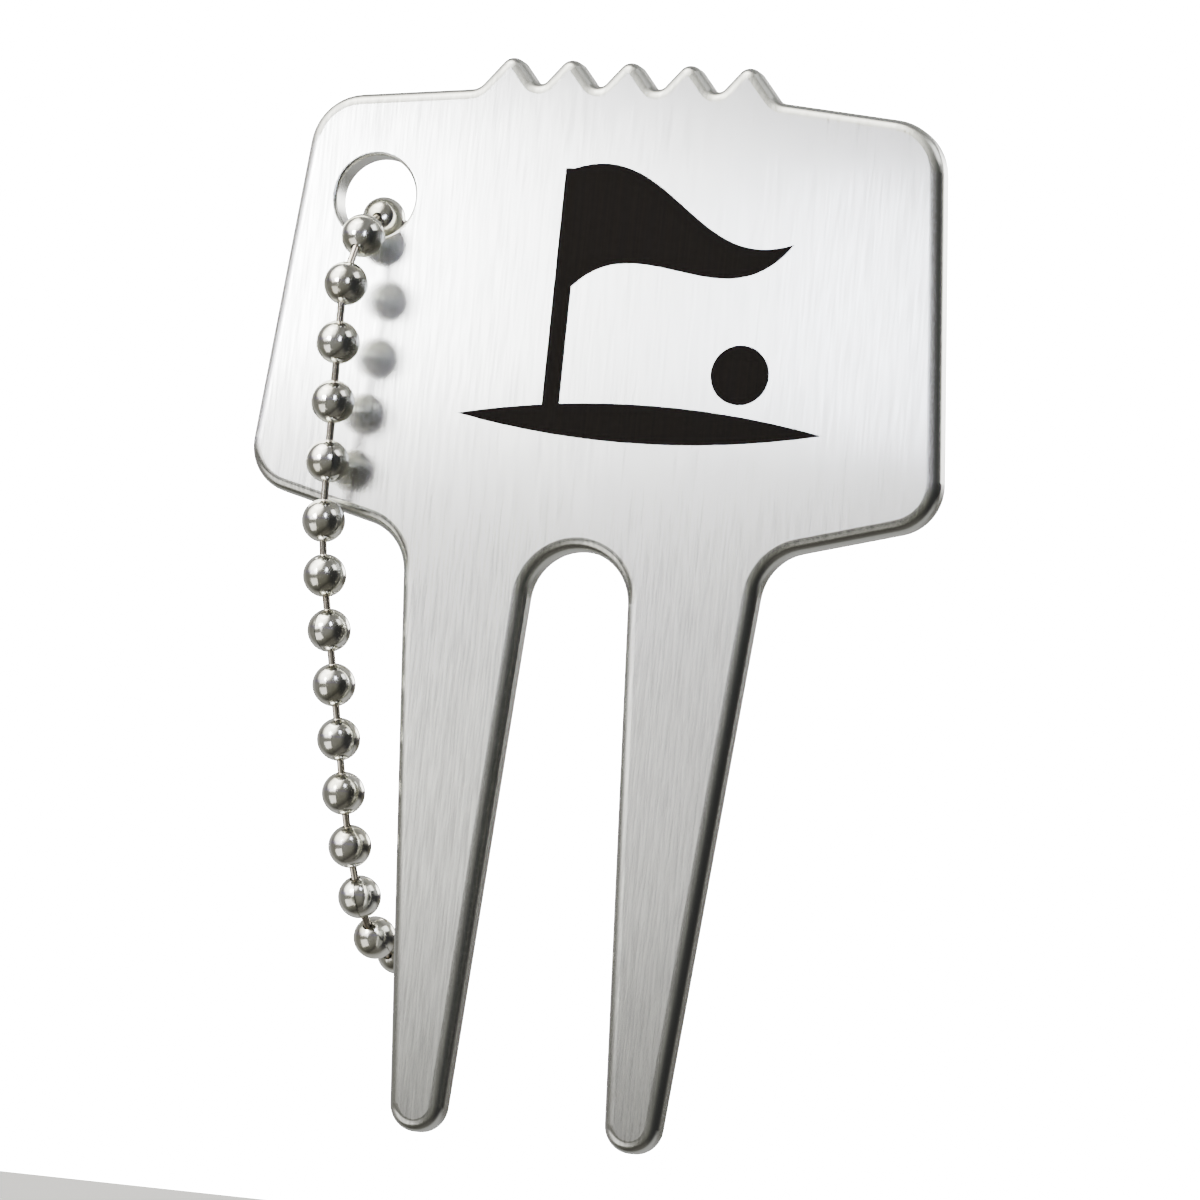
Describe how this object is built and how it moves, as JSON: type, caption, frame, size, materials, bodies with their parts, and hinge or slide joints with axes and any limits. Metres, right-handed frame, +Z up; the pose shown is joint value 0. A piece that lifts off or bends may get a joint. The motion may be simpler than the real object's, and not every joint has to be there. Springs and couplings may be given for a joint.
{
  "type": "divot repair tool",
  "caption": "Flat stamped steel golf divot repair tool: broad head with a toothed top edge, two tapering prongs and a corner hole carrying a closed loop of ball chain.",
  "frame": {"origin": "middle of the head between finger and thumb, in the middle of the sheet's thickness and on the tool's centre line", "axes": "+Z up along the tool from the prongs to the teeth, +X across the head towards the side without the hole, -Y out of the printed face"},
  "size_m": [0.041, 0.0182, 0.0616],
  "materials": {
    "plate_steel": "brushed along the tool, tumbled edges",
    "ink": "thin satin black screen print",
    "bead_metal": "bright nickel plate over steel",
    "link_metal": "dull nickel plate",
    "connector_metal": "bright nickel plate"
  },
  "bodies": {
    "tool": {"tool_plate": "plate_steel", "printed_emblem": "ink"},
    "chain_top": {"bead_01": "bead_metal"},
    "link_01": {"link_01": "link_metal"},
    "bead_02": {"bead_02": "bead_metal"},
    "link_02": {"link_02": "link_metal"},
    "bead_03": {"bead_03": "bead_metal"},
    "link_03": {"link_03": "link_metal"},
    "bead_04": {"bead_04": "bead_metal"},
    "link_04": {"link_04": "link_metal"},
    "bead_05": {"bead_05": "bead_metal"},
    "link_05": {"link_05": "link_metal"},
    "bead_06": {"bead_06": "bead_metal"},
    "link_06": {"link_06": "link_metal"},
    "bead_07": {"bead_07": "bead_metal"},
    "link_07": {"link_07": "link_metal"},
    "bead_08": {"bead_08": "bead_metal"},
    "link_08": {"link_08": "link_metal"},
    "bead_09": {"bead_09": "bead_metal"},
    "link_09": {"link_09": "link_metal"},
    "bead_10": {"bead_10": "bead_metal"},
    "link_10": {"link_10": "link_metal"},
    "bead_11": {"bead_11": "bead_metal"},
    "link_11": {"link_11": "link_metal"},
    "bead_12": {"bead_12": "bead_metal"},
    "link_12": {"link_12": "link_metal"},
    "bead_13": {"bead_13": "bead_metal"},
    "link_13": {"link_13": "link_metal"},
    "bead_14": {"bead_14": "bead_metal"},
    "link_14": {"link_14": "link_metal"},
    "bead_15": {"bead_15": "bead_metal"},
    "link_15": {"link_15": "link_metal"},
    "bead_16": {"bead_16": "bead_metal"},
    "link_16": {"link_16": "link_metal"},
    "bead_17": {"bead_17": "bead_metal"},
    "link_17": {"link_17": "link_metal"},
    "bead_18": {"bead_18": "bead_metal"},
    "link_18": {"link_18": "link_metal"},
    "connector": {"connector": "connector_metal", "bead_19": "bead_metal", "bead_20": "bead_metal"},
    "link_29": {"link_29": "link_metal"},
    "bead_29": {"bead_29": "bead_metal"},
    "link_28": {"link_28": "link_metal"},
    "bead_28": {"bead_28": "bead_metal"},
    "link_27": {"link_27": "link_metal"},
    "bead_27": {"bead_27": "bead_metal"},
    "link_26": {"link_26": "link_metal"},
    "bead_26": {"bead_26": "bead_metal"},
    "link_25": {"link_25": "link_metal"},
    "bead_25": {"bead_25": "bead_metal"},
    "link_24": {"link_24": "link_metal"},
    "bead_24": {"bead_24": "bead_metal"},
    "link_23": {"link_23": "link_metal"},
    "bead_23": {"bead_23": "bead_metal"},
    "link_22": {"link_22": "link_metal"},
    "bead_22": {"bead_22": "bead_metal"},
    "link_21": {"link_21": "link_metal"},
    "bead_21": {"bead_21": "bead_metal"},
    "link_20": {"link_20": "link_metal"}
  },
  "joints": [
    {"name": "chain_swing", "type": "hinge", "parent": "tool", "child": "chain_top", "pos_m": [-0.01445, 0, 0.0062], "axis": [0, 1, 0], "range_deg": [-3.5, 175]},
    {"name": "link_01_bend", "type": "hinge", "parent": "chain_top", "child": "link_01", "pos_m": [-0.01428, -0.00066, 0.00499], "axis": [0, 1, 0], "range_deg": [-3.8, 20]},
    {"name": "bead_02_spin", "type": "hinge", "parent": "link_01", "child": "bead_02", "pos_m": [-0.01436, -0.00246, 0.00364], "axis": [-0.0451, -0.6893, -0.7231], "continuous": true},
    {"name": "link_02_bend", "type": "hinge", "parent": "link_01", "child": "link_02", "pos_m": [-0.01441, -0.00326, 0.00279], "axis": [0, -1, 0], "range_deg": [-20, 4.1]},
    {"name": "bead_03_spin", "type": "hinge", "parent": "link_02", "child": "bead_03", "pos_m": [-0.01455, -0.0039, 0.00061], "axis": [-0.0553, -0.1454, -0.9878], "continuous": true},
    {"name": "link_03_bend", "type": "hinge", "parent": "link_02", "child": "link_03", "pos_m": [-0.01461, -0.00407, -0.00054], "axis": [0, 1, 0], "range_deg": [-4.5, 20]},
    {"name": "bead_04_spin", "type": "hinge", "parent": "link_03", "child": "bead_04", "pos_m": [-0.0147, -0.00374, -0.00276], "axis": [-0.0389, 0.156, -0.987], "continuous": true},
    {"name": "link_04_bend", "type": "hinge", "parent": "link_03", "child": "link_04", "pos_m": [-0.01475, -0.00356, -0.00392], "axis": [0, -1, 0], "range_deg": [-20, 5.1]},
    {"name": "bead_05_spin", "type": "hinge", "parent": "link_04", "child": "bead_05", "pos_m": [-0.01483, -0.00318, -0.00612], "axis": [-0.0379, 0.1583, -0.9867], "continuous": true},
    {"name": "link_05_bend", "type": "hinge", "parent": "link_04", "child": "link_05", "pos_m": [-0.01488, -0.003, -0.00727], "axis": [0, 1, 0], "range_deg": [-5.7, 20]},
    {"name": "bead_06_spin", "type": "hinge", "parent": "link_05", "child": "bead_06", "pos_m": [-0.01495, -0.00272, -0.00948], "axis": [-0.0246, 0.1142, -0.9932], "continuous": true},
    {"name": "link_06_bend", "type": "hinge", "parent": "link_05", "child": "link_06", "pos_m": [-0.01497, -0.00258, -0.01064], "axis": [0, -1, 0], "range_deg": [-20, 6.5]},
    {"name": "bead_07_spin", "type": "hinge", "parent": "link_06", "child": "bead_07", "pos_m": [-0.01493, -0.00237, -0.01286], "axis": [0.0445, 0.1038, -0.9936], "continuous": true},
    {"name": "link_07_bend", "type": "hinge", "parent": "link_06", "child": "link_07", "pos_m": [-0.01488, -0.00225, -0.01402], "axis": [0, 1, 0], "range_deg": [-7.4, 20]},
    {"name": "bead_08_spin", "type": "hinge", "parent": "link_07", "child": "bead_08", "pos_m": [-0.01465, -0.00199, -0.01596], "axis": [0.1277, 0.1356, -0.9825], "continuous": true},
    {"name": "link_08_bend", "type": "hinge", "parent": "link_07", "child": "link_08", "pos_m": [-0.0145, -0.00184, -0.01711], "axis": [0, -1, 0], "range_deg": [-20, 8.6]},
    {"name": "bead_09_spin", "type": "hinge", "parent": "link_08", "child": "bead_09", "pos_m": [-0.01421, -0.00151, -0.01902], "axis": [0.1447, 0.1716, -0.9745], "continuous": true},
    {"name": "link_09_bend", "type": "hinge", "parent": "link_08", "child": "link_09", "pos_m": [-0.01404, -0.00131, -0.02016], "axis": [0, 1, 0], "range_deg": [-10.5, 20]},
    {"name": "bead_10_spin", "type": "hinge", "parent": "link_09", "child": "bead_10", "pos_m": [-0.01379, -0.00092, -0.02206], "axis": [0.1269, 0.2071, -0.9701], "continuous": true},
    {"name": "link_10_bend", "type": "hinge", "parent": "link_09", "child": "link_10", "pos_m": [-0.01364, -0.00068, -0.0232], "axis": [0, -1, 0], "range_deg": [-20, 12]},
    {"name": "bead_11_spin", "type": "hinge", "parent": "link_10", "child": "bead_11", "pos_m": [-0.01341, -0.00023, -0.02509], "axis": [0.1132, 0.235, -0.9654], "continuous": true},
    {"name": "link_11_bend", "type": "hinge", "parent": "link_10", "child": "link_11", "pos_m": [-0.01328, 0.00005, -0.02622], "axis": [0, 1, 0], "range_deg": [-12, 20]},
    {"name": "bead_12_spin", "type": "hinge", "parent": "link_11", "child": "bead_12", "pos_m": [-0.01307, 0.00057, -0.0281], "axis": [0.109, 0.2823, -0.9531], "continuous": true},
    {"name": "link_12_bend", "type": "hinge", "parent": "link_11", "child": "link_12", "pos_m": [-0.01294, 0.0009, -0.02921], "axis": [0, -1, 0], "range_deg": [-20, 17]},
    {"name": "bead_13_spin", "type": "hinge", "parent": "link_12", "child": "bead_13", "pos_m": [-0.01271, 0.00158, -0.03104], "axis": [0.1238, 0.3594, -0.9249], "continuous": true},
    {"name": "link_13_bend", "type": "hinge", "parent": "link_12", "child": "link_13", "pos_m": [-0.01256, 0.002, -0.03212], "axis": [0, 1, 0], "range_deg": [-20, 20]},
    {"name": "bead_14_spin", "type": "hinge", "parent": "link_13", "child": "bead_14", "pos_m": [-0.0123, 0.00295, -0.03381], "axis": [0.1347, 0.5435, -0.8285], "continuous": true},
    {"name": "link_14_bend", "type": "hinge", "parent": "link_13", "child": "link_14", "pos_m": [-0.01214, 0.00359, -0.03478], "axis": [0, -1, 0], "range_deg": [-20, 20]},
    {"name": "bead_15_spin", "type": "hinge", "parent": "link_14", "child": "bead_15", "pos_m": [-0.01189, 0.00513, -0.03599], "axis": [0.1254, 0.8461, -0.518], "continuous": true},
    {"name": "link_15_bend", "type": "hinge", "parent": "link_14", "child": "link_15", "pos_m": [-0.01174, 0.00612, -0.03659], "axis": [0, 1, 0], "range_deg": [-20, 20]},
    {"name": "bead_16_spin", "type": "hinge", "parent": "link_15", "child": "bead_16", "pos_m": [-0.01143, 0.00808, -0.03666], "axis": [0.1854, 0.9721, 0.1436], "continuous": true},
    {"name": "link_16_bend", "type": "hinge", "parent": "link_15", "child": "link_16", "pos_m": [-0.01121, 0.00922, -0.03649], "axis": [0, -1, 0], "range_deg": [-20, 19.7]},
    {"name": "bead_17_spin", "type": "hinge", "parent": "link_16", "child": "bead_17", "pos_m": [-0.01083, 0.01062, -0.03506], "axis": [0.1469, 0.5666, 0.8108], "continuous": true},
    {"name": "link_17_bend", "type": "hinge", "parent": "link_16", "child": "link_17", "pos_m": [-0.01066, 0.01128, -0.03411], "axis": [0, 1, 0], "range_deg": [-12.8, 20]},
    {"name": "bead_18_spin", "type": "hinge", "parent": "link_17", "child": "bead_18", "pos_m": [-0.01059, 0.01166, -0.03183], "axis": [0.0193, 0.0911, 0.9957], "continuous": true},
    {"name": "link_18_bend", "type": "hinge", "parent": "link_17", "child": "link_18", "pos_m": [-0.01056, 0.01176, -0.03067], "axis": [0, -1, 0], "range_deg": [-20, 20]},
    {"name": "connector_bend", "type": "hinge", "parent": "link_18", "child": "connector", "pos_m": [-0.01057, 0.0117, -0.02957], "axis": [0, 1, 0], "range_deg": [-20, 20]},
    {"name": "link_29_bend", "type": "hinge", "parent": "chain_top", "child": "link_29", "pos_m": [-0.01432, 0.00166, 0.00531], "axis": [0, 1, 0], "range_deg": [-20, 20]},
    {"name": "bead_29_spin", "type": "hinge", "parent": "link_29", "child": "bead_29", "pos_m": [-0.0144, 0.00379, 0.00441], "axis": [0.0218, -0.8333, 0.5524], "continuous": true},
    {"name": "link_28_bend", "type": "hinge", "parent": "link_29", "child": "link_28", "pos_m": [-0.01442, 0.00476, 0.00377], "axis": [0, -1, 0], "range_deg": [-20, 20]},
    {"name": "bead_28_spin", "type": "hinge", "parent": "link_28", "child": "bead_28", "pos_m": [-0.01431, 0.00585, 0.00173], "axis": [-0.0883, -0.3612, 0.9283], "continuous": true},
    {"name": "link_27_bend", "type": "hinge", "parent": "link_28", "child": "link_27", "pos_m": [-0.01421, 0.00627, 0.00064], "axis": [0, 1, 0], "range_deg": [-20, 20]},
    {"name": "bead_27_spin", "type": "hinge", "parent": "link_27", "child": "bead_27", "pos_m": [-0.01384, 0.00657, -0.00159], "axis": [-0.1616, -0.1363, 0.9774], "continuous": true},
    {"name": "link_26_bend", "type": "hinge", "parent": "link_27", "child": "link_26", "pos_m": [-0.01365, 0.00673, -0.00273], "axis": [0, -1, 0], "range_deg": [-20, 20]},
    {"name": "bead_26_spin", "type": "hinge", "parent": "link_26", "child": "bead_26", "pos_m": [-0.0133, 0.00708, -0.00494], "axis": [-0.1498, -0.1613, 0.9755], "continuous": true},
    {"name": "link_25_bend", "type": "hinge", "parent": "link_26", "child": "link_25", "pos_m": [-0.01312, 0.00727, -0.00608], "axis": [0, 1, 0], "range_deg": [-20, 20]},
    {"name": "bead_25_spin", "type": "hinge", "parent": "link_25", "child": "bead_25", "pos_m": [-0.01281, 0.00767, -0.00829], "axis": [-0.1375, -0.1746, 0.975], "continuous": true},
    {"name": "link_24_bend", "type": "hinge", "parent": "link_25", "child": "link_24", "pos_m": [-0.01265, 0.00787, -0.00943], "axis": [0, -1, 0], "range_deg": [-20, 20]},
    {"name": "bead_24_spin", "type": "hinge", "parent": "link_24", "child": "bead_24", "pos_m": [-0.01235, 0.00824, -0.01165], "axis": [-0.1308, -0.1571, 0.9789], "continuous": true},
    {"name": "link_23_bend", "type": "hinge", "parent": "link_24", "child": "link_23", "pos_m": [-0.01219, 0.00843, -0.0128], "axis": [0, 1, 0], "range_deg": [-20, 20]},
    {"name": "bead_23_spin", "type": "hinge", "parent": "link_23", "child": "bead_23", "pos_m": [-0.01191, 0.00875, -0.01502], "axis": [-0.1243, -0.1432, 0.9819], "continuous": true},
    {"name": "link_22_bend", "type": "hinge", "parent": "link_23", "child": "link_22", "pos_m": [-0.01176, 0.00892, -0.01617], "axis": [0, -1, 0], "range_deg": [-20, 20]},
    {"name": "bead_22_spin", "type": "hinge", "parent": "link_22", "child": "bead_22", "pos_m": [-0.0115, 0.00927, -0.01839], "axis": [-0.1143, -0.166, 0.9795], "continuous": true},
    {"name": "link_21_bend", "type": "hinge", "parent": "link_22", "child": "link_21", "pos_m": [-0.01136, 0.00947, -0.01954], "axis": [0, 1, 0], "range_deg": [-20, 20]},
    {"name": "bead_21_spin", "type": "hinge", "parent": "link_21", "child": "bead_21", "pos_m": [-0.01113, 0.00994, -0.02175], "axis": [-0.1004, -0.2291, 0.9682], "continuous": true},
    {"name": "link_20_bend", "type": "hinge", "parent": "link_21", "child": "link_20", "pos_m": [-0.01101, 0.01021, -0.02288], "axis": [0, -1, 0], "range_deg": [-20, 20]}
  ]
}
